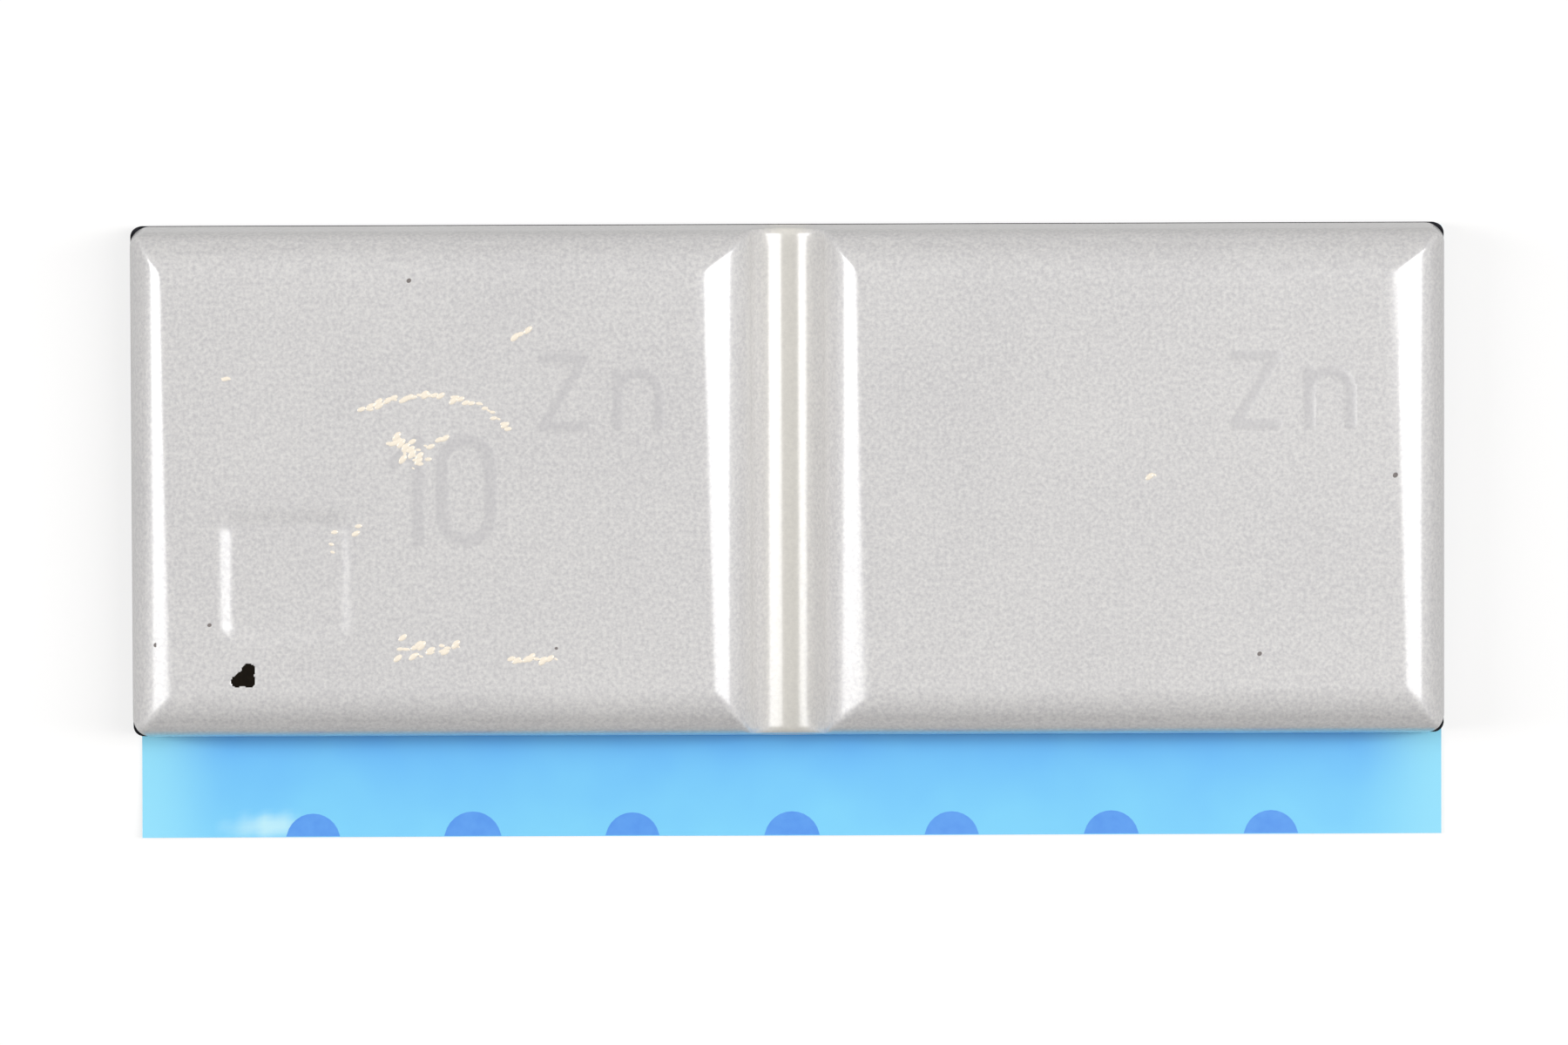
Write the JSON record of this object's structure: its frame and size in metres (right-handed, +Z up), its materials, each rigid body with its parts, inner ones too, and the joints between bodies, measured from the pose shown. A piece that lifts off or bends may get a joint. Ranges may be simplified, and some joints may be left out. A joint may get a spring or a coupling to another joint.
{
  "type": "wheel balance weight",
  "caption": "Flat stick-on wheel balance weight: rounded cast segments joined by a thin web under a break groove, on foam tape with a release film that stands out as a pull tab.",
  "frame": {"origin": "on the underside of the release film, below the middle of the casting", "axes": "+X along the row of segments, +Y away from the pull tab, +Z up through the casting's flat tops"},
  "size_m": [0.0384, 0.018, 0.0037],
  "materials": {
    "coated_zinc": "gloss coat",
    "dark_foam": "matt, cut edge",
    "blue_film": "gloss film"
  },
  "bodies": {
    "root": {"zinc_casting": "coated_zinc", "foam_tape": "dark_foam", "release_liner": "blue_film"}
  },
  "joints": []
}
